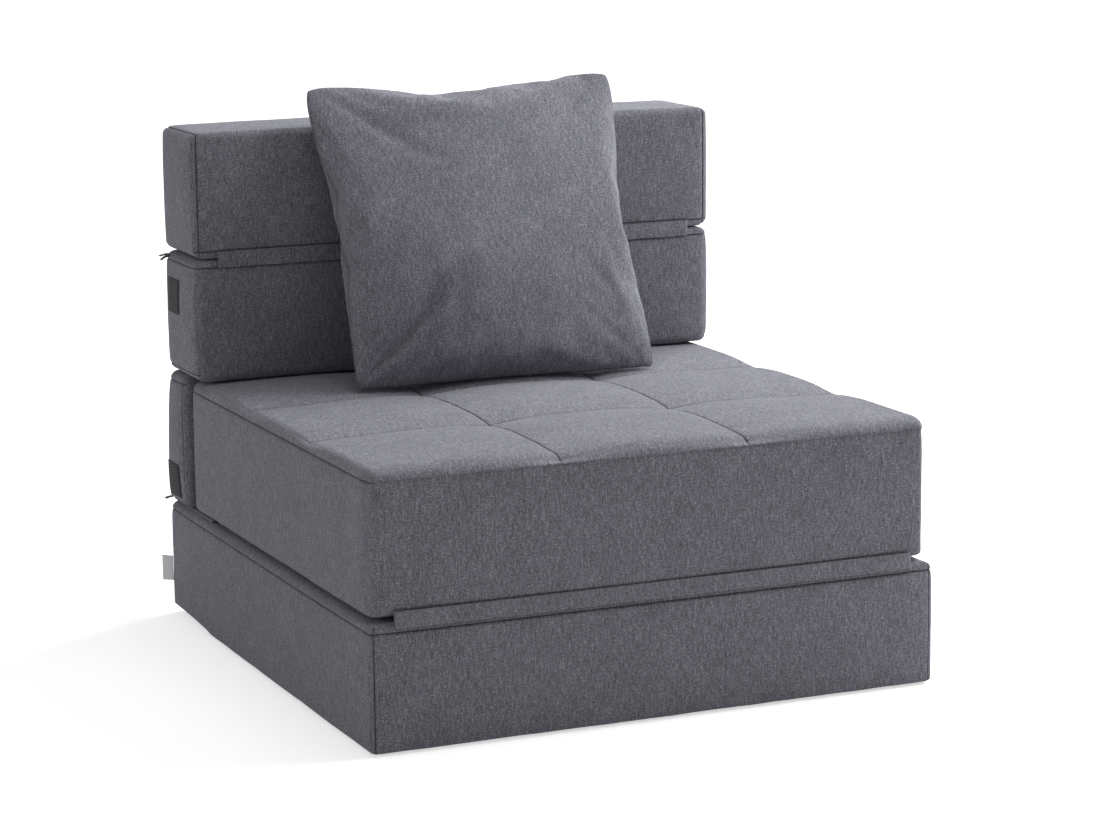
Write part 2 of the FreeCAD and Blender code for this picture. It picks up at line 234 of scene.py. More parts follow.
class Seam:
    """A seam in the plane where one axis has one value, on the sides that face the given way."""

    def __init__(self, axis, at, facing):
        self.axis = axis
        self.at = at
        self.facing = facing

    def share(self, normals):
        """How far each point belongs to the seam's sides, from 0 to 1."""
        toward = np.max([normals @ np.array(way, float) for way in self.facing], axis=0)
        return np.clip((toward - SIDE_START) * SIDE_RISE, 0, 1)


def sewn_box(low, high, radii_low, radii_high, bulges, seams, seed, sunk=None):
    """The points of a padded cover: rounded, bulged between its seams, pulled in and puckered at them.

    bulges are pairs of a side's direction and how far it stands out. sunk is the zip channel.
    """
    low, high = np.array(low), np.array(high)
    radii_low, radii_high = np.array(radii_low), np.array(radii_high)
    lines = []
    for axis in range(3):
        at = [seam.at for seam in seams if seam.axis == axis]
        steps = [] if sunk is None else sunk["steps"][axis]
        rim = max(radii_low[axis], radii_high[axis])
        lines.append(grid_lines(low[axis], high[axis], CLOTH_STEP, rim, at, steps))
    flat, quads, axes = box_lattice(*lines)
    uv = weave_uv(flat, quads, axes)
    points, normals = rounded(flat, low, high, radii_low, radii_high)
    middle = (low + high) / 2
    share = np.clip((flat - middle) / ((high - low) / 2), -1, 1)
    full = 1 - np.abs(share) ** BULGE_FALL
    offset = np.zeros_like(points)
    for way, amount in bulges:
        way = np.array(way, float)
        axis = int(np.argmax(np.abs(way)))
        others = [a for a in range(3) if a != axis]
        swell = full[:, others[0]] * full[:, others[1]]
        offset += way * (amount * swell * np.clip(normals @ way, 0, 1))[:, None]
    inward = 0.5 + 0.5 * waves(points, WADDING_WAVE[1], seed)
    offset -= normals * (WADDING_WAVE[0] * inward)[:, None]
    offset += normals * (SLACK_WAVE[0] * waves(points, SLACK_WAVE[1], seed + 1))[:, None]
    crease_shade = np.zeros(len(points))
    for seam in seams:
        held = seam.share(normals)
        off = flat[:, seam.axis] - seam.at
        pinch = SEAM_DEPTH * np.clip(1 - np.abs(off) / SEAM_WIDTH, 0, 1)
        dip = SEAM_DIP * np.exp(-((off / SEAM_DIP_WIDTH) ** 2))
        spread = np.array(points)
        spread[:, seam.axis] *= PUCKER_DRAWN
        ripple = PUCKER_DEPTH * np.exp(-np.abs(off) / PUCKER_REACH)
        near = (np.abs(off) < PUCKER_END) & (held > 0)
        wave = np.zeros(len(points))
        wave[near] = waves(spread[near], PUCKER_LENGTH, seed + 2)
        offset -= normals * (held * (pinch + dip + ripple * PUCKER_SWING * (1 + wave)))[:, None]
        # painted shade along the seam's crease
        crease_shade = np.maximum(crease_shade, held * np.exp(-((off / SEAM_SHADE_WIDTH) ** 2)))
    points = points + offset
    if sunk is not None:
        inside = np.all((flat > sunk["low"]) & (flat < sunk["high"]), axis=1)
        points[inside, 1] = sunk["floor"]
    return points, quads, uv, crease_shade


# a zip's channel: its width beyond the tape, how near the rear side its points lie, the tape's gap
CHANNEL_RIM = 0.001
CHANNEL_REACH = 0.02
CHANNEL_GAP = 0.0002


def zip_channel(node, depth_box):
    """The channel for a zip, from the node of its tape: where the cover's rear is sunk, and how deep."""
    tape_low, tape_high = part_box(node)
    cover_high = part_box(depth_box)[1]
    rim = CHANNEL_RIM
    low = np.array([tape_low.x - rim, cover_high.y - CHANNEL_REACH, tape_low.z - rim])
    high = np.array([tape_high.x + rim, cover_high.y + CHANNEL_REACH, tape_high.z + rim])
    steps = [[low[0], high[0]], [], [low[2], high[2]]]
    return {"low": low, "high": high, "steps": steps, "floor": tape_low.y - CHANNEL_GAP}


# Materials

def material_nodes(name):
    material = bpy.data.materials.new(name)
    material.use_nodes = True
    tree = material.node_tree
    shader = tree.nodes["Principled BSDF"]
    return material, tree, shader


def add_node(tree, kind, **settings):
    node = tree.nodes.new(kind)
    for key, value in settings.items():
        setattr(node, key, value)
    return node


def scaled_noise(tree, coordinates, scale, detail=2.0, roughness=0.5):
    """A noise pattern of its own scale along each axis of the coordinates."""
    mapping = add_node(tree, "ShaderNodeMapping")
    mapping.inputs["Scale"].default_value = scale
    tree.links.new(coordinates, mapping.inputs["Vector"])
    pattern = add_node(tree, "ShaderNodeTexNoise")
    pattern.inputs["Scale"].default_value = 1.0
    pattern.inputs["Detail"].default_value = detail
    pattern.inputs["Roughness"].default_value = roughness
    tree.links.new(mapping.outputs["Vector"], pattern.inputs["Vector"])
    return pattern.outputs["Fac"]


def maths(tree, operation, first, second, third=None):
    node = add_node(tree, "ShaderNodeMath", operation=operation)
    for socket, value in zip(node.inputs, (first, second, third)):
        if value is None:
            continue
        if isinstance(value, (int, float)):
            socket.default_value = value
        else:
            tree.links.new(value, socket)
    return node.outputs[0]


def ramp(tree, factor, stops):
    node = add_node(tree, "ShaderNodeValToRGB")
    elements = node.color_ramp.elements
    while len(elements) < len(stops):
        elements.new(0.5)
    for element, (position, colour) in zip(elements, stops):
        element.position = position
        element.color = (*colour, 1.0)
    tree.links.new(factor, node.inputs["Fac"])
    return node.outputs["Color"]


def add_bump(tree, shader, height, strength, distance):
    bump = add_node(tree, "ShaderNodeBump")
    bump.inputs["Strength"].default_value = strength
    bump.inputs["Distance"].default_value = distance
    tree.links.new(height, bump.inputs["Height"])
    tree.links.new(bump.outputs["Normal"], shader.inputs["Normal"])


# a mix node's sockets for colours: factor, first and second colour, and the result
MIX_SOCKETS = (0, 6, 7)
MIX_RESULT = 2
# the yarn's patterns: scale across and up the cloth, detail, roughness and share in the colour
YARN_PATTERNS = [
    ("slub", (620.0, 95.0, 1.0), 3.0, 0.65, 0.30),
    ("fleck", (210.0, 560.0, 1.0), 2.0, 0.6, 0.20),
    ("speck", (480.0, 430.0, 1.0), 2.0, 0.7, 0.33),
    ("streak", (250.0, 42.0, 1.0), 2.0, 0.5, 0.11),
    ("cloud", (26.0, 17.0, 1.0), 3.0, 0.55, 0.06),
]
YARN_STOPS = (0.39, 0.5, 0.62)
THREAD_BANDS = 330.0
THREAD_WANDER = 1.5
THREAD_RELIEF = 0.35
SLUB_RELIEF = 1.2
CLOTH_BUMP = (0.35, 0.0005)
SEAM_SHADE = (0.16, 0.16, 0.18, 1.0)
CLOTH_SURFACE = {
    "Roughness": 0.92,
    "Specular IOR Level": 0.25,
    "Sheen Weight": 0.18,
    "Sheen Roughness": 0.45,
    "Sheen Tint": (0.8, 0.82, 0.9, 1.0),
}


def melange_cloth(name, yarns):
    """Plain-woven melange cloth: slubs up the warp, short weft flecks, a fine weave and a soft nap."""
    material, tree, shader = material_nodes(name)
    weave = add_node(tree, "ShaderNodeUVMap", uv_map="weave").outputs["UV"]
    patterns = {}
    mixed = None
    for pattern, scale, detail, roughness, share in YARN_PATTERNS:
        patterns[pattern] = scaled_noise(tree, weave, scale, detail, roughness)
        part = maths(tree, "MULTIPLY", patterns[pattern], share)
        mixed = part if mixed is None else maths(tree, "ADD", mixed, part)
    colour = ramp(tree, mixed, list(zip(YARN_STOPS, yarns)))
    # painted shade: the colour is darkened by SEAM_SHADE where the crease attribute marks the creases of
    # seams and quilting
    crease_shade = add_node(tree, "ShaderNodeAttribute", attribute_name="crease_shade").outputs["Fac"]
    shade = add_node(tree, "ShaderNodeMix", data_type="RGBA", blend_type="MULTIPLY")
    factor, first, second = (shade.inputs[i] for i in MIX_SOCKETS)
    second.default_value = SEAM_SHADE
    tree.links.new(crease_shade, factor)
    tree.links.new(colour, first)
    tree.links.new(shade.outputs[MIX_RESULT], shader.inputs["Base Color"])
    bands = []
    for direction in ("X", "Y"):
        band = add_node(tree, "ShaderNodeTexWave", wave_type="BANDS", bands_direction=direction)
        band.inputs["Scale"].default_value = THREAD_BANDS
        band.inputs["Distortion"].default_value = THREAD_WANDER
        tree.links.new(weave, band.inputs["Vector"])
        bands.append(band.outputs["Fac"])
    threads = maths(tree, "MULTIPLY", maths(tree, "ADD", *bands), THREAD_RELIEF)
    relief = maths(tree, "ADD", threads, maths(tree, "MULTIPLY", patterns["slub"], SLUB_RELIEF))
    add_bump(tree, shader, relief, *CLOTH_BUMP)
    for socket, value in CLOTH_SURFACE.items():
        shader.inputs[socket].default_value = value
    return material


GRAIN_STOPS = (0.35, 0.65)
GRAIN_DETAIL = (3.0, 0.6)
FINISH_BUMP = 0.5


def plain_finish(name, colours, grain, roughness, bump_height, metallic=0.0):
    """A finish with fine uneven grain on object coordinates."""
    material, tree, shader = material_nodes(name)
    place = add_node(tree, "ShaderNodeTexCoord").outputs["Object"]
    pattern = scaled_noise(tree, place, (grain, grain, grain), *GRAIN_DETAIL)
    colour = ramp(tree, pattern, list(zip(GRAIN_STOPS, colours)))
    tree.links.new(colour, shader.inputs["Base Color"])
    add_bump(tree, shader, pattern, FINISH_BUMP, bump_height)
    shader.inputs["Roughness"].default_value = roughness
    shader.inputs["Metallic"].default_value = metallic
    return material


# the dark, middle and light yarns of the covers, and of the cushion: the same cloth, with paler yarns as
# painted light for the brighter light the cushion gets
COVER_YARNS = [(0.085, 0.086, 0.102), (0.19, 0.191, 0.22), (0.40, 0.40, 0.445)]
CUSHION_PAINTED_LIGHT_YARNS = [(0.09, 0.091, 0.108), (0.20, 0.201, 0.233), (0.42, 0.42, 0.47)]

cover_cloth = melange_cloth("cover_melange_cloth", COVER_YARNS)
hinge_cloth = melange_cloth("hinge_melange_cloth", COVER_YARNS)
# painted light: the cushion's copy of the cover cloth has paler yarns
cushion_cloth = melange_cloth("cushion_painted_light_melange_cloth", CUSHION_PAINTED_LIGHT_YARNS)
# each finish: its name, two colours, the grain's scale, roughness, the grain's height and metal
sewing_thread = plain_finish(
    "sewing_thread", [(0.05, 0.052, 0.062), (0.11, 0.112, 0.13)], 900.0, 0.75, 0.0002
)
foam_finish = plain_finish("cut_foam", [(0.74, 0.71, 0.62), (0.82, 0.8, 0.72)], 700.0, 0.95, 0.0006)
fibre_finish = plain_finish("polyester_fibre", [(0.8, 0.8, 0.8), (0.9, 0.9, 0.9)], 350.0, 1.0, 0.001)
loop_finish = plain_finish(
    "black_loop_tape", [(0.004, 0.004, 0.005), (0.014, 0.014, 0.017)], 1500.0, 0.9, 0.0008
)
tape_finish = plain_finish(
    "zip_tape_twill", [(0.03, 0.032, 0.038), (0.05, 0.052, 0.06)], 1300.0, 0.8, 0.0003
)
slider_finish = plain_finish(
    "blackened_zinc", [(0.08, 0.08, 0.085), (0.14, 0.14, 0.15)], 220.0, 0.42, 0.00005, 1.0
)
ribbon_finish = plain_finish(
    "label_ribbon_satin", [(0.84, 0.85, 0.87), (0.95, 0.95, 0.96)], 1100.0, 0.55, 0.0002
)


# Blocks

def cover_block(name, node, body, radii, bulges, seams, seed, tape=None, shape=None):
    """A sewn cover in the place of its node, round the node's foam."""
    low, high = (np.array(corner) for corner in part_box(node))
    radii_low, radii_high = radii
    sunk = zip_channel(tape, node) if tape else None
    inner_low, inner_high = low.copy(), high.copy()
    for way, amount in bulges:
        axis = int(np.argmax(np.abs(way)))
        if way[axis] < 0:
            inner_low[axis] += amount
        else:
            inner_high[axis] -= amount
    points, quads, uv, crease_shade = sewn_box(
        inner_low, inner_high, radii_low, radii_high, bulges, seams, seed, sunk
    )
    if shape is not None:
        points = shape(points)
    piece = placed(mesh_piece(name, points, quads, cover_cloth, uv, crease_shade), body, node)
    return piece


FRONT, REAR = (0, -1, 0), (0, 1, 0)
LEFT, RIGHT = (-1, 0, 0), (1, 0, 0)
UP, DOWN = (0, 0, 1), (0, 0, -1)
ROUND_ABOUT = (FRONT, REAR, LEFT, RIGHT)
ROUND_ALONG = (FRONT, REAR, UP, DOWN)
# how far the covers bow out
END_BOW = 0.005
BACK_BOW = 0.003
BASE_BOW = 0.0045
PANEL_BOW = 0.004
FOOT_BOW = 0.002
BOWED_ENDS = [(LEFT, END_BOW), (RIGHT, END_BOW)]
# how far the seams lie from the blocks' edges
TOP_SEAM = 0.0105
FOOT_SEAM = 0.0095
CORNER_SEAM = 0.009
PANEL_TOP_SEAM = 0.012
# rounding of the edges along x, y and z, beside each cover's low corner and beside its high one
BASE_ROUND = ((0.012, 0.006, 0.004), (0.012, 0.006, 0.011))
LOWER_ROUND = ((0.014, 0.007, 0.012), (0.014, 0.007, 0.011))
UPPER_ROUND = ((0.013, 0.007, 0.013), (0.013, 0.009, 0.011))
PANEL_ROUND = ((0.013, 0.006, 0.008), (0.013, 0.012, 0.012))
# the seat is rounder in plan than the other blocks
SEAT_CORNER = (0.014, 0.026)
SEAT_FOOT = 0.009

base_low, base_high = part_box("base_cover")
seat_low, seat_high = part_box("seat_cover")
lower_low, lower_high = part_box("lower_back_cover")
upper_low, upper_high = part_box("upper_back_cover")
panel_low, panel_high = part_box("rear_panel_cover")
top_low, top_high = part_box("seat_quilted_top")

FOOT_LIFT = 0.009
FOOT_LIFT_REACH = (0.10, 0.16, 0.05)
PANEL_LEAN = 0.018


def lifted_corner(points):
    """The base's rear left foot doesn't fill out: its cloth hangs a little above the floor."""
    near = np.ones(len(points))
    for axis, place in enumerate((base_low.x, base_high.y, base_low.z)):
        near *= np.clip(1 - np.abs(points[:, axis] - place) / FOOT_LIFT_REACH[axis], 0, 1)
    raised = points.copy()
    raised[:, 2] += FOOT_LIFT * np.sqrt(near)
    return raised


def lean_forward(points):
    """The rear panel is thinner towards its top, where it is sewn to the lower back."""
    rise = (points[:, 2] - panel_low.z) / (panel_high.z - panel_low.z)
    back = (points[:, 1] - panel_low.y) / (panel_high.y - panel_low.y)
    leant = points.copy()
    leant[:, 1] -= PANEL_LEAN * rise * back
    return leant


# the base's boxing is sewn to its top a little below the edge, and has a seam down each corner
base_seams = [
    Seam(2, base_high.z - TOP_SEAM, ROUND_ABOUT),
    Seam(0, base_low.x + CORNER_SEAM, (FRONT, REAR)),
    Seam(0, base_high.x - CORNER_SEAM, (FRONT, REAR)),
]
base_bows = [(FRONT, BASE_BOW), (DOWN, FOOT_BOW), *BOWED_ENDS]
cover_block(
    "base_block_cover", "base_cover", "base", BASE_ROUND, base_bows, base_seams,
    seed=1, tape="base_zip_tape", shape=lifted_corner,
)

# the seat's boxing has no corner seams, and its front comes out to the quilted top's
seat_seams = [Seam(2, seat_high.z, (REAR, LEFT, RIGHT))]
seat_bows = [(FRONT, top_low.y - seat_low.y), *BOWED_ENDS]
cover_block(
    "seat_boxed_cover", "seat_cover", "seat",
    ((*SEAT_CORNER, SEAT_FOOT), (*SEAT_CORNER, 0.0)), seat_bows, seat_seams,
    seed=2, tape="seat_zip_tape",
)

lower_seams = [
    Seam(2, lower_high.z - TOP_SEAM, ROUND_ABOUT),
    Seam(2, lower_low.z + FOOT_SEAM, (REAR, LEFT, RIGHT)),
]
lower_block = cover_block(
    "lower_back_padded_cover", "lower_back_cover", "lower_back",
    LOWER_ROUND, [(FRONT, BACK_BOW), *BOWED_ENDS], lower_seams,
    seed=3, tape="lower_back_zip_tape",
)

upper_seams = [
    Seam(0, upper_low.x + TOP_SEAM, ROUND_ALONG),
    Seam(0, upper_high.x - TOP_SEAM, ROUND_ALONG),
    Seam(2, upper_low.z + FOOT_SEAM, (FRONT,)),
]
upper_block = cover_block(
    "upper_back_padded_cover", "upper_back_cover", "upper_back",
    UPPER_ROUND, [(FRONT, BACK_BOW), (UP, BACK_BOW), *BOWED_ENDS], upper_seams,
    seed=4, tape="upper_back_zip_tape",
)

panel_seams = [
    Seam(1, panel_low.y + FOOT_SEAM, (LEFT, RIGHT)),
    Seam(2, panel_high.z - PANEL_TOP_SEAM, (REAR, LEFT, RIGHT)),
]
rear_panel = cover_block(
    "rear_panel_padded_cover", "rear_panel_cover", "lower_back",
    PANEL_ROUND, [(REAR, PANEL_BOW), *BOWED_ENDS], panel_seams,
    seed=5, shape=lean_forward,
)


# Quilted top of the seat

QUILT = (3, 3)
QUILT_DIP = 0.0065
QUILT_POWER = 2.6
QUILT_STITCH = 0.0012
# puckers beside the quilting: depth, reach and length
QUILT_PUCKER = (0.0008, 0.013, 0.016)
QUILT_SWING = (0.4, 0.8)
# painted shade: how wide the darkening along the quilting lines is
QUILT_SHADE_WIDTH = 0.0009
TOP_CROWN = 0.008
TOP_WAVE = (0.0009, 0.07)
TOP_STEP = 0.006
TOP_RISE_STEP = 0.004
TOP_RISE_RIM = 0.003
# how the quilting's depth fades over the rolled edge: what is taken off, and the gain
TOP_DRAWN = (0.4, 1.7)


def quilt_lines(low, high, count):
    return [low + (high - low) * i / count for i in range(1, count)]


def quilted_top():
    """The seat's top: rolled over at its edges, crowned, and pulled down along the quilting lines."""
    low, high = np.array(top_low), np.array(top_high)
    high[2] -= TOP_CROWN
    roll = np.array([*SEAT_CORNER, high[2] - low[2]])
    foot = np.array([*SEAT_CORNER, 0.0])
    columns = quilt_lines(low[0], high[0], QUILT[0])
    rows = quilt_lines(low[1], high[1], QUILT[1])
    xs = grid_lines(low[0], high[0], TOP_STEP, roll[0], columns)
    ys = grid_lines(low[1], high[1], TOP_STEP, roll[1], rows)
    zs = grid_lines(low[2], high[2], TOP_RISE_STEP, TOP_RISE_RIM)
    flat, quads, axes = box_lattice(xs, ys, zs)
    uv = weave_uv(flat, quads, axes)
    points, normals = rounded(flat, low, high, foot, roll)
    up = np.clip(normals[:, 2], 0, 1)
    middle = (low + high) / 2
    share = np.clip((flat - middle) / ((high - low) / 2), -1, 1)
    rise = TOP_CROWN * (1 - share[:, 0] ** 2) * (1 - share[:, 1] ** 4)
    crease_shade = np.zeros(len(points))
    drop = np.zeros(len(points))
    for axis, lines, span in ((0, columns, high[0] - low[0]), (1, rows, high[1] - low[1])):
        half_panel = span / QUILT[axis] / 2
        near = np.min([np.abs(flat[:, axis] - at) for at in lines], axis=0)
        drop += QUILT_DIP * np.clip(1 - near / half_panel, 0, 1) ** QUILT_POWER
        drop += QUILT_STITCH * np.clip(1 - near / SEAM_WIDTH, 0, 1)
        depth, reach, length = QUILT_PUCKER
        wave = waves(points * np.array([1.0, 1.0, 0.2]), length, 11 + axis)
        drop += depth * np.exp(-near / reach) * (QUILT_SWING[0] + QUILT_SWING[1] * wave)
        # painted shade along the quilting lines
        crease_shade = np.maximum(crease_shade, np.exp(-((near / QUILT_SHADE_WIDTH) ** 2)) * np.clip(up * 2, 0, 1))
    drop += TOP_WAVE[0] * (0.5 + 0.5 * waves(points, TOP_WAVE[1], 9))
    points = points + np.array([0, 0, 1.0]) * (rise * up)[:, None]
    points = points - normals * (drop * np.clip(up * TOP_DRAWN[1] - TOP_DRAWN[0], 0, 1))[:, None]
    # the seam to the boxing pulls the lower edge in, and puckers the cloth above it
    off = flat[:, 2] - low[2]
    level = (1 - up) * np.clip(1.6 + 2 * normals[:, 1], 0, 1)
    wave = waves(points * np.array([1.0, 1.0, PUCKER_DRAWN]), PUCKER_LENGTH, 21)
    pinch = SEAM_DEPTH * np.clip(1 - off / SEAM_WIDTH, 0, 1) + SEAM_DIP * np.exp(-off / SEAM_DIP_WIDTH)
    ripple = PUCKER_DEPTH * np.exp(-off / PUCKER_REACH) * PUCKER_SWING * (1 + wave)
    points = points - normals * (level * (pinch + ripple))[:, None]
    # painted shade along the seam to the boxing
    crease_shade = np.maximum(crease_shade, level * np.exp(-((off / SEAM_SHADE_WIDTH) ** 2)))
    piece = mesh_piece("seat_quilted_panel", points, quads, cover_cloth, uv, crease_shade)
    placed(piece, "seat", "seat_quilted_top")
    return piece


quilted_panel = quilted_top()


# Cloth hinges: flat strips that are sewn to both blocks

STRIP_COLUMNS = 170
STRIP_ROWS = (0.0, 0.04, 0.1, 0.2, 0.35, 0.5, 0.65, 0.8, 0.9, 0.96, 1.0)
STRIP_WAVE = (0.0003, 0.03)
# painted shade along the sewn edges of a strip: how dark, and how wide as a share of the strip
STRIP_EDGE_SHADE = (0.9, 0.05)


def cloth_strip(name, node, seed):
    """A strip in the place of its node, with cut ends and painted shade along both sewn edges."""
    source = frame["nodes"][node].data
    corners = np.array([v.co for v in source.vertices])
    # the node is a sheared box: its two section directions come from its corners at one end
    end_points = corners[corners[:, 0] < corners[:, 0].min() + 1e-5]
    section = np.unique(np.round(end_points[:, 1:], 6), axis=0)
    order = np.argsort(section[:, 1])
    lower, upper = section[order[:2]], section[order[2:]]
    lower = lower[np.argsort(lower[:, 0])]
    upper = upper[np.argsort(upper[:, 0])]
    left, right = corners[:, 0].min(), corners[:, 0].max()
    along = np.arange(left, right + 0.0001, (right - left) / STRIP_COLUMNS)
    points, crease_shade = [], []
    for skin, t in itertools.product((0, 1), STRIP_ROWS):
        section_point = lower[skin] * (1 - t) + upper[skin] * t
        points += [(x, section_point[0], section_point[1]) for x in along]
        crease_shade += [STRIP_EDGE_SHADE[0] * max(0.0, 1 - min(t, 1 - t) / STRIP_EDGE_SHADE[1])] * len(along)
    faces = two_skins(len(STRIP_ROWS), len(along))
    points = np.array(points)
    out = np.array([0.0, lower[0][0] - lower[1][0], lower[0][1] - lower[1][1]])
    out /= np.linalg.norm(out)
    uneven = STRIP_WAVE[0] * waves(points * np.array([1.0, 0.2, 0.2]), STRIP_WAVE[1], seed)
    points = points - out * np.abs(uneven)[:, None]
    cloth_uv = [(points[v][0], points[v][2] + points[v][1]) for face in faces for v in face]
    piece = mesh_piece(name, points, faces, hinge_cloth, cloth_uv, crease_shade)
    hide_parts(node)
    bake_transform(piece)


# Cushion

CUSHION_LEAN = math.radians(20.8)
CUSHION_SIZE = (0.436, 0.409, 0.120)
CUSHION_CELLS = 72
CUSHION_HALF = (0.235, 0.222)
CUSHION_CORNER = 0.032
CUSHION_SLUMP = 0.22
CUSHION_FOLD = 0.0028
CUSHION_LOFT = 0.014
# how the lower edge is pressed straight: the power of the fade above it, and the share
FOOT_PRESS = (1.6, 0.85)
# folds are long and low, and fade from the lower part up: start, slope and least share
FOLD_LENGTH = 0.032
FOLD_SPREAD = (0.35, 1.1, 0.12)
REST_GAP = 0.0006
FIBRE_SHARE = 0.93
# painted shade along the cushion's sewn rim
RIM_SHADE = 0.45
# the cloth simulation that fills the cushion
FILLING_STEPS = 40
FILLING = {
    "quality": 6,
    "mass": 0.25,
    "tension_stiffness": 25.0,
    "compression_stiffness": 25.0,
    "shear_stiffness": 12.0,
    "bending_stiffness": 0.3,
    "tension_damping": 12.0,
    "air_damping": 2.0,
    "use_pressure": True,
    "uniform_pressure_force": 2.0,
    "vertex_group_shrink": "spare",
    "shrink_min": 0.0,
    "shrink_max": -0.07,
}


def flat_cushion():
    """Two layers of cloth with a shared edge, a little apart in the middle, before they are filled."""
    n = CUSHION_CELLS
    steps = np.linspace(-1, 1, n + 1)
    points, number = [], {}
    for side in (-1, 1):
        for i, s in enumerate(steps):
            for j, t in enumerate(steps):
                rim = i in (0, n) or j in (0, n)
                key = (0 if rim else side, i, j)
                if key in number:
                    continue
                number[key] = len(points)
                full = (1 - s * s) * (1 - t * t)
                cut = 1 - CUSHION_CORNER * (s * t) ** 12
                x, z = CUSHION_HALF[0] * s * cut, CUSHION_HALF[1] * t * cut
                points.append((x, side * CUSHION_LOFT * full ** 0.5, z))
    faces, uv = [], []
    for side in (-1, 1):
        for i in range(n):
            for j in range(n):
                ring = [(i, j), (i + 1, j), (i + 1, j + 1), (i, j + 1)]
                if side == 1:
                    ring.reverse()
                quad = []
                for a, b in ring:
                    rim = a in (0, n) or b in (0, n)
                    quad.append(number[(0 if rim else side, a, b)])
                    uv.append((CUSHION_HALF[0] * steps[a] + 3.0 * side, CUSHION_HALF[1] * steps[b]))
                faces.append(quad)
    rim_points = {index for (side, _, _), index in number.items() if side == 0}
    return np.array(points), faces, uv, rim_points


def filled(points, faces, rim_points):
    """The cushion blown up by cloth simulation, with a little spare cloth between its sewn edges."""
    mesh = bpy.data.meshes.new("cushion_trial")
    mesh.from_pydata([tuple(p) for p in points], [], faces)
    trial = bpy.data.objects.new("cushion_trial", mesh)
    bpy.context.scene.collection.objects.link(trial)
    spare = trial.vertex_groups.new(name="spare")
    spare.add([i for i in range(len(points)) if i not in rim_points], 1.0, "REPLACE")
    cloth = trial.modifiers.new("cloth", "CLOTH")
    settings = cloth.settings
    for key, value in FILLING.items():
        setattr(settings, key, value)
    settings.effector_weights.gravity = 0.0
    cloth.collision_settings.use_collision = False
    cloth.point_cache.frame_start = 1
    cloth.point_cache.frame_end = FILLING_STEPS
    scene = bpy.context.scene
    for step in range(1, FILLING_STEPS + 1):
        scene.frame_set(step)
    done = trial.evaluated_get(bpy.context.evaluated_depsgraph_get())
    shape = np.array([v.co for v in done.data.vertices])
    scene.frame_set(1)
    bpy.data.objects.remove(trial)
    return shape


def pressed(cloth, surfaces, ray):
    """The cloth's points that lie beyond a surface, looking along the ray, brought back to rest on it."""
    ray = Vector(ray)
    for index, point in enumerate(cloth):
        start = Vector(point) - ray * CUSHION_SIZE[0]
        for surface in surfaces:
            hit = surface.ray_cast(start, ray, CUSHION_SIZE[0])[0]
            if hit is not None:
                cloth[index] = np.array(hit - ray * REST_GAP)
                break
    return cloth


def settled(shape, points):
    """The cushion at its place: fuller below, with a straight lower edge and soft folds above it."""
    low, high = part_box("cushion_cover")
    up = shape[:, 2] / shape[:, 2].max()
    shape[:, 1] *= 1 - CUSHION_SLUMP * up
    # its weight presses the curve of the lower edge straight
    columns = np.round(points[:, 0] / CUSHION_HALF[0] * CUSHION_CELLS).astype(int)
    foot = {column: shape[columns == column, 2].min() for column in np.unique(columns)}
    drop = np.array([foot[column] for column in columns]) - shape[:, 2].min()
    across, height = points[:, 0] / CUSHION_HALF[0], points[:, 2] / CUSHION_HALF[1]
    shape[:, 2] -= drop * np.clip(-height, 0, 1) ** FOOT_PRESS[0] * FOOT_PRESS[1]
    full = np.clip(1 - across ** 4, 0, 1) * np.clip(1 - height ** 8, 0, 1)
    lower = np.clip(FOLD_SPREAD[0] - FOLD_SPREAD[1] * height, FOLD_SPREAD[2], 1)
    fold = waves(points * np.array([1.0, 0.5, 0.32]) + np.array([0, 0.05, 0]), FOLD_LENGTH, 71)
    shape[:, 1] += np.sign(points[:, 1]) * CUSHION_FOLD * full * lower * fold
    shape -= (shape.max(axis=0) + shape.min(axis=0)) / 2
    span = shape.max(axis=0) - shape.min(axis=0)
    shape *= np.array([CUSHION_SIZE[0], CUSHION_SIZE[2], CUSHION_SIZE[1]]) / span
    turn = np.array(Matrix.Rotation(-CUSHION_LEAN, 3, "X"))
    shape = shape @ turn.T
    shape += np.array((low + high) / 2) - (shape.max(axis=0) + shape.min(axis=0)) / 2
    return shape


def surface_of(piece):
    mesh = piece.data
    return BVHTree.FromPolygons([v.co for v in mesh.vertices], [p.vertices for p in mesh.polygons])


def cushion():
    points, faces, uv, rim_points = flat_cushion()
    shape = filled(points, faces, rim_points)
    shape = settled(shape, points)
    middle = shape.mean(axis=0)
    backs = [surface_of(lower_block), surface_of(upper_block)]
    shape = pressed(shape, backs, (0, 1, 0))
    shape = pressed(shape, [surface_of(quilted_panel)], (0, 0, -1))
    # painted shade along the sewn rim
    crease_shade = np.zeros(len(shape))
    crease_shade[list(rim_points)] = RIM_SHADE
    piece = mesh_piece("cushion_sewn_cover", shape, faces, cushion_cloth, uv, crease_shade)
    smooth = piece.modifiers.new("smooth", "SUBSURF")
    smooth.levels = smooth.render_levels = 1
    placed(piece, "cushion", "cushion_cover")
    fibre = middle + (shape - middle) * FIBRE_SHARE
    inside = mesh_piece("cushion_fibre_filling", fibre, faces, fibre_finish, uv)
    placed(inside, "cushion", "cushion_filling")


cushion()

cloth_strip("front_hinge_cloth", "front_hinge_strip", 31)
cloth_strip("back_hinge_cloth", "back_hinge_strip", 32)


# Foam blocks: square-cut, with the edges that the cover presses round

FOAM_ROUND = 0.012
FOAM_BACK = 0.0022
FOAM_STEP = 0.03


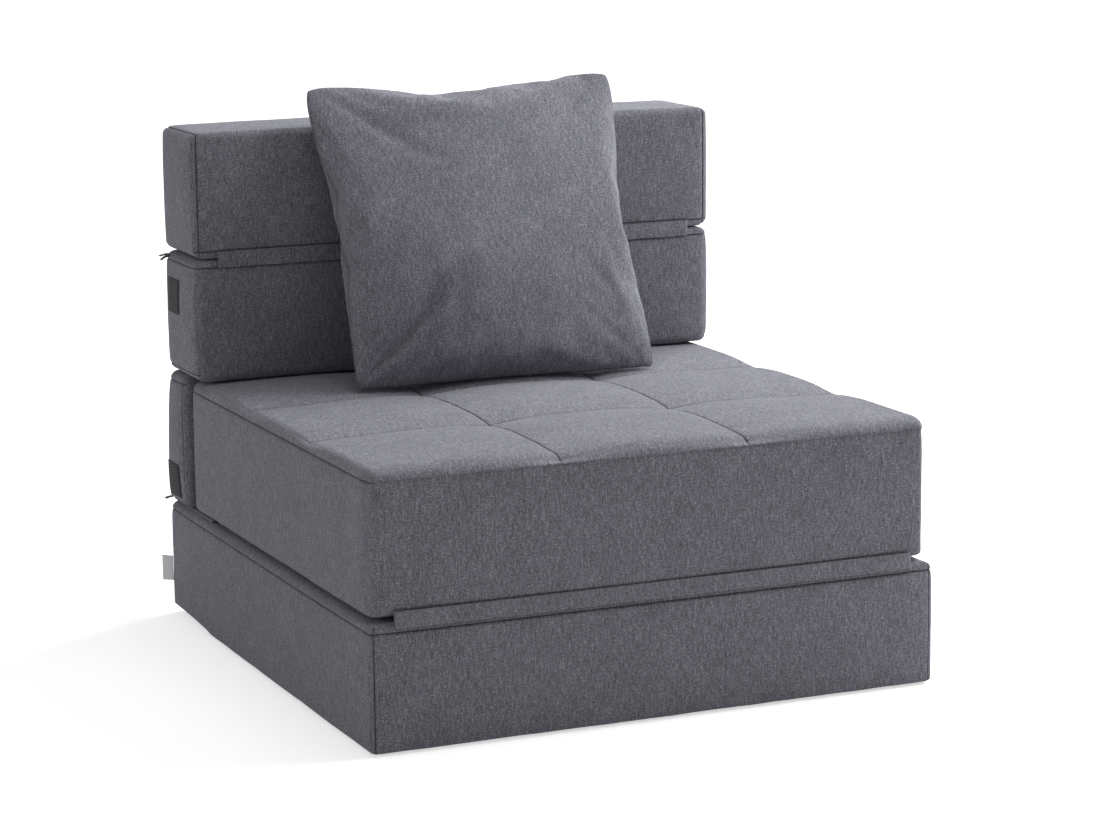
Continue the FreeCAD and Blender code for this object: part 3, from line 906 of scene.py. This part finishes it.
def foam_block(name, node, body):
    low, high = (np.array(corner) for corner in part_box(node))
    radius = np.full(3, FOAM_ROUND)
    lines = [grid_lines(low[a] + FOAM_BACK, high[a] - FOAM_BACK, FOAM_STEP, FOAM_ROUND) for a in range(3)]
    flat, quads, axes = box_lattice(*lines)
    points, _ = rounded(flat, low + FOAM_BACK, high - FOAM_BACK, radius, radius)
    piece = mesh_piece(name, points, quads, foam_finish, weave_uv(flat, quads, axes))
    placed(piece, body, node)


for block in ("base", "seat", "lower_back", "upper_back"):
    foam_block(block + "_foam_block", block + "_foam", block)
foam_block("rear_panel_foam_block", "rear_panel_foam", "lower_back")


# Rear flap, patches, label, zips and the thread

# how many mesh lines the flap has across x and along y
FLAP_MESH = (150, 44)
# its slack lies in slow waves before its rear edge: depth, length and run-out
FLAP_WAVE = (0.0007, 0.05, 0.03)
# painted shade along the flap's sewn edges: how dark, and how wide
FLAP_EDGE_SHADE = (0.8, 0.003)


def rear_flap():
    """The flap beneath the seat and the rear panel, sewn to both."""
    low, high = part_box("rear_hinge_flap")
    xs = np.linspace(low.x, high.x, FLAP_MESH[0])
    ys = np.linspace(low.y, high.y, FLAP_MESH[1])
    flat, quads, axes = box_lattice(xs, ys, np.array([low.z, high.z]))
    points = flat.copy()
    depth, length, fade = FLAP_WAVE
    slack = np.clip((high.y - flat[:, 1]) / fade, 0, 1)
    points[:, 2] -= depth * slack * (0.5 + 0.5 * waves(flat * np.array([1, 1, 0]), length, 41))
    # painted shade along both sewn edges
    edge = np.minimum(flat[:, 1] - low.y, high.y - flat[:, 1])
    crease_shade = FLAP_EDGE_SHADE[0] * np.clip(1 - edge / FLAP_EDGE_SHADE[1], 0, 1)
    uv = weave_uv(flat, quads, axes)
    piece = mesh_piece("rear_hinge_cloth", points, quads, hinge_cloth, uv, crease_shade)
    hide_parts("rear_hinge_flap")
    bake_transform(piece)


PATCH_THICKNESS = 0.0014
PATCH_BORDER = 0.0035
PATCH_ROUND = 0.003
PATCH_STEP = 0.0016
PATCH_RIM = 0.002
# the woven border's share of the thickness, and the width in which the loops rise from it
BORDER_SHARE = 0.62
LOOP_RISE = 0.001
LOOP_FUZZ = (0.00025, 0.0022)
PATCH_BACK = 0.0002
# rays are cast at the patches from this far outside
RAY_START = 0.03


def loop_patch(node, side, surface, body):
    """Hook-and-loop patch that follows its cover: a woven border round a raised field of loops."""
    low, high = (np.array(corner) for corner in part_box(node))
    ys = grid_lines(low[1], high[1], PATCH_STEP, PATCH_RIM)
    zs = grid_lines(low[2], high[2], PATCH_STEP, PATCH_RIM)
    flat, quads, axes = box_lattice(np.array([0.0, 1.0]), ys, zs)
    # the corners are rounded
    core = np.clip(flat[:, 1:], low[1:] + PATCH_ROUND, high[1:] - PATCH_ROUND)
    away = flat[:, 1:] - core
    length = np.maximum(np.linalg.norm(away, axis=1, keepdims=True), TINY)
    flat[:, 1:] = core + away * np.abs(away).max(axis=1, keepdims=True) / length
    outer = flat[:, 0] > 0.5
    points = np.empty_like(flat)
    edge = np.minimum(flat[:, 1:] - low[1:], high[1:] - flat[:, 1:]).min(axis=1)
    loops = np.clip((edge - PATCH_BORDER) / LOOP_RISE, 0, 1)
    fuzz = LOOP_FUZZ[0] * loops * waves(flat, LOOP_FUZZ[1], 51)
    height = PATCH_THICKNESS * (BORDER_SHARE + (1 - BORDER_SHARE) * loops) + fuzz
    rise = np.where(outer, height, PATCH_BACK)
    for index, place in enumerate(flat):
        start = Vector((side * (abs(low[0]) + RAY_START), place[1], place[2]))
        hit = surface.ray_cast(start, Vector((-side, 0, 0)))[0]
        points[index] = (hit.x + side * rise[index], place[1], place[2])
    if side < 0:
        quads = quads[:, ::-1]
    piece = mesh_piece(node + "_woven", points, quads, loop_finish, weave_uv(flat, quads, axes))
    placed(piece, body, node)


def stitch_tree():
    """Rows of thread stitches along the edges of a mesh: the tree behind every sewn line."""
    tree = bpy.data.node_groups.new("stitch_rows", "GeometryNodeTree")
    for name, way, kind in (
        ("Geometry", "INPUT", "NodeSocketGeometry"),
        ("Geometry", "OUTPUT", "NodeSocketGeometry"),
        ("Pitch", "INPUT", "NodeSocketFloat"),
        ("Piece Size", "INPUT", "NodeSocketVector"),
        ("Material", "INPUT", "NodeSocketMaterial"),
    ):
        tree.interface.new_socket(name, in_out=way, socket_type=kind)
    start = add_node(tree, "NodeGroupInput")
    finish = add_node(tree, "NodeGroupOutput")
    curve = add_node(tree, "GeometryNodeMeshToCurve")
    even = add_node(tree, "GeometryNodeResampleCurve", mode="LENGTH")
    ball = add_node(tree, "GeometryNodeMeshUVSphere")
    for socket, value in (("Segments", 6), ("Rings", 4), ("Radius", 0.5)):
        ball.inputs[socket].default_value = value
    tangent = add_node(tree, "GeometryNodeInputTangent")
    turn = add_node(tree, "FunctionNodeAlignRotationToVector", axis="X")
    spread = add_node(tree, "GeometryNodeInstanceOnPoints")
    real = add_node(tree, "GeometryNodeRealizeInstances")
    shade = add_node(tree, "GeometryNodeSetShadeSmooth")
    paint = add_node(tree, "GeometryNodeSetMaterial")
    for source, output, target, socket in (
        (start, "Geometry", curve, "Mesh"),
        (curve, "Curve", even, "Curve"),
        (start, "Pitch", even, "Length"),
        (even, "Curve", spread, "Points"),
        (ball, "Mesh", spread, "Instance"),
        (tangent, "Tangent", turn, "Vector"),
        (turn, "Rotation", spread, "Rotation"),
        (start, "Piece Size", spread, "Scale"),
        (spread, "Instances", real, "Geometry"),
        (real, "Geometry", shade, "Geometry"),
        (shade, "Geometry", paint, "Geometry"),
        (start, "Material", paint, "Material"),
        (paint, "Geometry", finish, "Geometry"),
    ):
        tree.links.new(source.outputs[output], target.inputs[socket])
    return tree


def repeated(name, tree, lines, pitch, size, material):
    """A plain mesh of small pieces along the lines, each line a list of points."""
    points, edges = [], []
    for line in lines:
        first = len(points)
        points += [tuple(p) for p in line]
        edges += [(first + i, first + i + 1) for i in range(len(line) - 1)]
    path = bpy.data.meshes.new(name + "_path")
    path.from_pydata(points, edges, [])
    holder = bpy.data.objects.new(name + "_path", path)
    bpy.context.scene.collection.objects.link(holder)
    modifier = holder.modifiers.new("rows", "NODES")
    modifier.node_group = tree
    sockets = {item.name: item.identifier for item in tree.interface.items_tree if item.in_out == "INPUT"}
    modifier[sockets["Pitch"]] = pitch
    modifier[sockets["Piece Size"]] = size
    modifier[sockets["Material"]] = material
    bpy.context.view_layer.update()
    graph = bpy.context.evaluated_depsgraph_get()
    mesh = bpy.data.meshes.new_from_object(holder.evaluated_get(graph))
    bpy.data.objects.remove(holder)
    mesh.name = name
    piece = bpy.data.objects.new(name, mesh)
    bpy.context.scene.collection.objects.link(piece)
    return piece


stitch_rows = stitch_tree()
STITCH_PITCH = 0.0038
STITCH_SIZE = (0.0031, 0.0006, 0.0006)
# how far from a surface a line may start when it is laid on it
LAY_REACH = 0.05


def laid(surface, line, ray, lift):
    """The line's points brought down onto a surface along the ray, and lifted off it a little."""
    ray = Vector(ray)
    hits = [surface.ray_cast(Vector(point) - ray * LAY_REACH, ray)[0] for point in line]
    return [hit - ray * lift for hit in hits if hit is not None]


def sewn_rows(name, body, lines, material):
    placed(repeated(name, stitch_rows, lines, STITCH_PITCH, STITCH_SIZE, material), body)


PATCH_SEWING = 0.0018
PATCH_SEWING_POINTS = 12
# outside the covers' bowed ends, where the sewing's lines start
OUTSIDE = 0.385
BORDER_TOP = 0.6 * PATCH_THICKNESS + 0.0002


def patch_sewing(node, side):
    """The line of stitches just inside a patch's border."""
    low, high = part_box(node)
    ring = [(low.y, low.z), (high.y, low.z), (high.y, high.z), (low.y, high.z)]
    line = []
    for (y0, z0), (y1, z1) in zip(ring, ring[1:] + ring[:1]):
        for t in np.linspace(0, 1, PATCH_SEWING_POINTS)[:-1]:
            y, z = y0 + (y1 - y0) * t, z0 + (z1 - z0) * t
            y = min(max(y, low.y + PATCH_SEWING), high.y - PATCH_SEWING)
            z = min(max(z, low.z + PATCH_SEWING), high.z - PATCH_SEWING)
            line.append((side * OUTSIDE, y, z))
    return line + line[:1]


rear_flap()
patch_levels = (("upper", surface_of(lower_block)), ("lower", surface_of(rear_panel)))
patch_rows = []
for (side_name, side), (level, surface) in itertools.product((("left", -1), ("right", 1)), patch_levels):
    node = side_name + "_" + level + "_loop_patch"
    loop_patch(node, side, surface, "lower_back")
    patch_rows.append(laid(surface, patch_sewing(node, side), (-side, 0, 0), BORDER_TOP))
sewn_rows("patch_border_stitches", "lower_back", patch_rows, tape_finish)

# the quilting thread, sunk in the seams of the seat's top: how far it stops before each edge
QUILT_END_FRONT = 0.03
QUILT_END = 0.02
QUILT_POINTS = (160, 170)
THREAD_LIFT = 0.0001

quilt_surface = surface_of(quilted_panel)
quilt_rows = []
for x in quilt_lines(top_low.x, top_high.x, QUILT[0]):
    ys = np.linspace(top_low.y + QUILT_END_FRONT, top_high.y - QUILT_END, QUILT_POINTS[0])
    quilt_rows.append(laid(quilt_surface, [(x, y, top_high.z) for y in ys], DOWN, THREAD_LIFT))
for y in quilt_lines(top_low.y, top_high.y, QUILT[1]):
    xs = np.linspace(top_low.x + QUILT_END, top_high.x - QUILT_END, QUILT_POINTS[1])
    quilt_rows.append(laid(quilt_surface, [(x, y, top_high.z) for x in xs], DOWN, THREAD_LIFT))
sewn_rows("quilting_stitches", "seat", quilt_rows, sewing_thread)


# Zips: two half tapes, a row of teeth on each, and the sewing that holds them

ZIP_SLIT = 0.0014
ZIP_COLUMNS = 180
ZIP_ROWS = 9
ZIP_WAVE = (0.00012, 0.02)
TAPE_THICKNESS = 0.0008
CHAIN_END = 0.012
TOOTH_PITCH = 0.0026
TOOTH_SIZE = (0.0014, 0.0019, 0.0026)
TOOTH_OFF = 0.0008
TOOTH_LIFT = 0.0009
TAPE_SEWING = 0.004


def zip_fastener(node, body):
    low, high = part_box(node)
    middle = (low.z + high.z) / 2
    back, face = low.y, low.y + TAPE_THICKNESS
    halves = []
    for side, outer in ((-1, low.z), (1, high.z)):
        zs = np.linspace(*sorted((middle + side * ZIP_SLIT, outer)), ZIP_ROWS)
        halves.append(box_lattice(np.linspace(low.x, high.x, ZIP_COLUMNS), np.array([back, face]), zs))
    points = np.concatenate([half[0] for half in halves])
    quads = np.concatenate([halves[0][1], halves[1][1] + len(halves[0][0])])
    axes = np.concatenate([half[2] for half in halves])
    shaped = points.copy()
    shaped[:, 1] += ZIP_WAVE[0] * waves(points * np.array([1, 0, 1]), ZIP_WAVE[1], 61)
    tape = mesh_piece(node + "_woven", shaped, quads, tape_finish, weave_uv(points, quads, axes))
    placed(tape, body, node)
    teeth = []
    for side, shift in ((-1, 0.0), (1, TOOTH_PITCH / 2)):
        xs = np.linspace(low.x + CHAIN_END + shift, high.x - CHAIN_END + shift, 3)
        teeth.append([(x, face + TOOTH_LIFT, middle + side * TOOTH_OFF) for x in xs])
    chain = repeated(node + "_teeth", stitch_rows, teeth, TOOTH_PITCH, TOOTH_SIZE, slider_finish)
    placed(chain, body)
    xs = np.linspace(low.x + TAPE_SEWING, high.x - TAPE_SEWING, 3)
    heights = (low.z + TAPE_SEWING, high.z - TAPE_SEWING)
    lines = [[(x, face + THREAD_LIFT, z) for x in xs] for z in heights]
    sewn_rows(node + "_stitches", body, lines, tape_finish)


for block in ("base", "seat", "lower_back", "upper_back"):
    zip_fastener(block + "_zip_tape", block)


# Label: a blank satin ribbon folded over, its two ends sewn into the corner

RIBBON_THICKNESS = 0.0004
RIBBON_STEPS = 14
RIBBON_TURNS = 9
# how far the ribbon's path stays inside its node's corners, and half the width of its loop
RIBBON_ROOT = 0.0008
RIBBON_TIP = 0.0004
RIBBON_LOOP = 0.0016
RIBBON_FLARE = 0.6


def ribbon_path(low, high):
    """The ribbon's run in plan: out from the corner, round its fold, and back."""
    root = np.array([high.x - RIBBON_ROOT, low.y + RIBBON_ROOT])
    tip = np.array([low.x + RIBBON_TIP, high.y - RIBBON_TIP])
    length = np.linalg.norm(tip - root)
    out = (tip - root) / length
    across = np.array([-out[1], out[0]])
    straight = length - RIBBON_LOOP
    leg = [(straight * t, RIBBON_LOOP * t ** RIBBON_FLARE) for t in np.linspace(0, 1, RIBBON_STEPS)]
    turns = np.radians(np.linspace(90, -90, RIBBON_TURNS)[1:-1])
    bend = [(straight + RIBBON_LOOP * math.cos(a), RIBBON_LOOP * math.sin(a)) for a in turns]
    back = [(far, -aside) for far, aside in reversed(leg)]
    return np.array([root + out * far + across * aside for far, aside in leg + bend + back])


def folded_ribbon():
    low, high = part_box("blank_label_tag")
    path = ribbon_path(low, high)
    along = np.gradient(path, axis=0)
    sideways = np.stack([-along[:, 1], along[:, 0]], axis=1)
    sideways /= np.linalg.norm(sideways, axis=1, keepdims=True)
    zs = np.linspace(low.z, high.z, RIBBON_STEPS)
    points = []
    for skin in (-1, 1):
        for x, y in path + sideways * skin * RIBBON_THICKNESS / 2:
            points += [(x, y, z) for z in zs]
    faces = two_skins(len(path), len(zs))
    run = np.concatenate([[0], np.cumsum(np.linalg.norm(np.diff(path, axis=0), axis=1))])
    corners = [v % (len(path) * len(zs)) for quad in faces for v in quad]
    uv = [(run[v // len(zs)], zs[v % len(zs)]) for v in corners]
    piece = mesh_piece("blank_label_ribbon", np.array(points), faces, ribbon_finish, uv)
    placed(piece, "base", "blank_label_tag")


folded_ribbon()


# Loose ends at the rear left corners, where a cover's binding and its black tape come out of the seam

TAIL_THICKNESS = 0.0009
TAIL_MESH = (16, 10)
# a loose end starts inside the seam, this share of its seen length behind its root
TAIL_HIDDEN = 1 / 6
TAIL_NARROWING = 0.15
TAIL_CURL_POWER = 2.2
FRAYING = (0.0008, 0.3)
TAIL_WAVE = (0.0005, 0.4)


def loose_end(name, root, size, curl, material, slot, seed):
    """A short end of cloth that leaves a seam to the left and curls down."""
    length, width = size
    cells = (np.linspace(0, 1, TAIL_MESH[0]), np.linspace(-0.5, 0.5, TAIL_MESH[1]), np.array([0.0, 1.0]))
    flat, quads, axes = box_lattice(*cells)
    quads = quads[:, ::-1]
    points = np.empty_like(flat)
    frayed = FRAYING[0] * waves(flat * np.array([0, 3.0, 0]), FRAYING[1], seed) * flat[:, 0] ** 4
    points[:, 0] = root[0] - length * (flat[:, 0] * (1 + TAIL_HIDDEN) - TAIL_HIDDEN) + frayed
    points[:, 1] = root[1] + width * flat[:, 1] * (1 - TAIL_NARROWING * flat[:, 0])
    points[:, 2] = root[2] - curl * flat[:, 0] ** TAIL_CURL_POWER + TAIL_THICKNESS * (flat[:, 2] - 0.5)
    points[:, 2] += TAIL_WAVE[0] * waves(flat, TAIL_WAVE[1], seed + 1)
    piece = mesh_piece(name, points, quads, material, weave_uv(points, quads, axes))
    placed(piece, "lower_back")


# the binding's end above the tape's, in the rear left corner of the lower back
binding_root = (lower_low.x + 0.006, lower_high.y - 0.012, lower_high.z - 0.0045)
tape_root = (binding_root[0], binding_root[1] + 0.001, binding_root[2] - 0.0028)
panel_root = (panel_low.x + 0.007, panel_high.y - 0.014, panel_low.z + 0.0035)
binding, tape = (cover_cloth, "cover_cloth"), (tape_finish, "zip_tape")
loose_end("lower_back_binding_end", binding_root, (0.012, 0.011), 0.002, *binding, 81)
loose_end("lower_back_tape_end", tape_root, (0.010, 0.0102), 0.005, *tape, 83)
loose_end("rear_panel_tape_end", panel_root, (0.0095, 0.0102), 0.002, *tape, 85)


# Construction nodes that keep their shape and get a finish

finishes = {"foam": foam_finish, "fibre_filling": fibre_finish, "zip_tape": tape_finish}
finishes.update({"zip_slider": slider_finish, "loop_tape": loop_finish, "label_ribbon": ribbon_finish})
finishes.update({"hinge_cloth": hinge_cloth, "cover_cloth": cover_cloth, "cushion_cloth": cushion_cloth})
for part in frame["record"]["subparts"]:
    node = frame["nodes"][part["node"]]
    node.data.materials.clear()
    node.data.materials.append(finishes[part["material_slot"]])


# Studio: pale floor, white surround, soft lamps

AMBIENT = 0.225
FLOOR_REACH = 30.0
LAMP_AIM = Vector((0, 0, 0.3))
FLOOR_COLOUR = 0.9
FLOOR_GLOW = 0.6
# the floor turns into the white surround between these distances from the object
FLOOR_FADE = (1.3, 2.6)
# each lamp's name, place, width and power
LAMPS = [
    ("right_lamp", (2.2, -0.4, 2.0), 1.2, 48.0),
    ("rear_right_lamp", (1.8, 1.0, 2.2), 1.2, 48.0),
    ("top_lamp", (0.2, 0.2, 3.0), 1.6, 18.0),
    ("left_fill_lamp", (-2.8, 0.2, 1.2), 1.8, 7.5),
]


def shown_white(tree):
    """One for the rays that show the surround: the camera's own, and those mirrored or let through."""
    path = add_node(tree, "ShaderNodeLightPath")
    shown = maths(tree, "MAXIMUM", path.outputs["Is Camera Ray"], path.outputs["Is Glossy Ray"])
    return maths(tree, "MAXIMUM", shown, path.outputs["Is Transmission Ray"])


def studio():
    """A white floor that keeps the shadow, a white surround, and soft lamps at a plain level."""
    floor_finish, tree, shader = material_nodes("studio_floor")
    shader.inputs["Base Color"].default_value = (FLOOR_COLOUR, FLOOR_COLOUR, FLOOR_COLOUR, 1.0)
    shader.inputs["Roughness"].default_value = 0.9
    mesh = bpy.data.meshes.new("studio_floor")
    corners = [(x * FLOOR_REACH, y * FLOOR_REACH, 0) for x, y in ((-1, -1), (1, -1), (1, 1), (-1, 1))]
    mesh.from_pydata(corners, [], [(0, 1, 2, 3)])
    mesh.materials.append(floor_finish)
    # seen by the camera the floor is brighter, so that only the object's shadow shows on it
    shader.inputs["Emission Color"].default_value = (1.0, 1.0, 1.0, 1.0)
    place = add_node(tree, "ShaderNodeTexCoord").outputs["Object"]
    away = add_node(tree, "ShaderNodeVectorMath", operation="LENGTH")
    tree.links.new(place, away.inputs[0])
    fade = add_node(tree, "ShaderNodeMapRange", interpolation_type="SMOOTHSTEP")
    tree.links.new(away.outputs["Value"], fade.inputs["Value"])
    limits = zip(("From Min", "From Max", "To Min", "To Max"), (*FLOOR_FADE, FLOOR_GLOW, 1.0))
    for socket, value in limits:
        fade.inputs[socket].default_value = value
    glow = maths(tree, "MULTIPLY", shown_white(tree), fade.outputs["Result"])
    tree.links.new(glow, shader.inputs["Emission Strength"])
    floor = bpy.data.objects.new("studio_floor", mesh)
    bpy.context.scene.collection.objects.link(floor)
    world = bpy.data.worlds.new("studio")
    bpy.context.scene.world = world
    world.use_nodes = True
    tree = world.node_tree
    background = tree.nodes["Background"]
    background.inputs["Color"].default_value = (1.0, 1.0, 1.0, 1.0)
    strength = maths(tree, "MULTIPLY_ADD", shown_white(tree), 1.0 - AMBIENT, AMBIENT)
    tree.links.new(strength, background.inputs["Strength"])
    for name, place, size, power in LAMPS:
        data = bpy.data.lights.new(name, "AREA")
        data.size = size
        data.energy = power
        lamp = bpy.data.objects.new(name, data)
        lamp.location = place
        lamp.rotation_euler = (LAMP_AIM - Vector(place)).to_track_quat("-Z", "Y").to_euler()
        bpy.context.scene.collection.objects.link(lamp)


def photo_camera():
    data = bpy.data.cameras.new("photo_camera")
    data.sensor_width = SENSOR_WIDTH
    data.lens = CAMERA_LENS
    camera = bpy.data.objects.new("photo_camera", data)
    ahead = Vector((
        math.sin(CAMERA_YAW) * math.cos(CAMERA_PITCH),
        math.cos(CAMERA_YAW) * math.cos(CAMERA_PITCH),
        -math.sin(CAMERA_PITCH),
    ))
    right = Vector((math.cos(CAMERA_YAW), -math.sin(CAMERA_YAW), 0))
    up = right.cross(ahead)
    turned_right = right * math.cos(CAMERA_ROLL) + up * math.sin(CAMERA_ROLL)
    turned_up = up * math.cos(CAMERA_ROLL) - right * math.sin(CAMERA_ROLL)
    axes = Matrix((turned_right, turned_up, -ahead)).transposed()
    camera.matrix_world = Matrix.Translation(CAMERA_PLACE) @ axes.to_4x4()
    bpy.context.scene.collection.objects.link(camera)
    bpy.context.scene.camera = camera


studio()
photo_camera()
bpy.context.scene.view_settings.view_transform = "Standard"
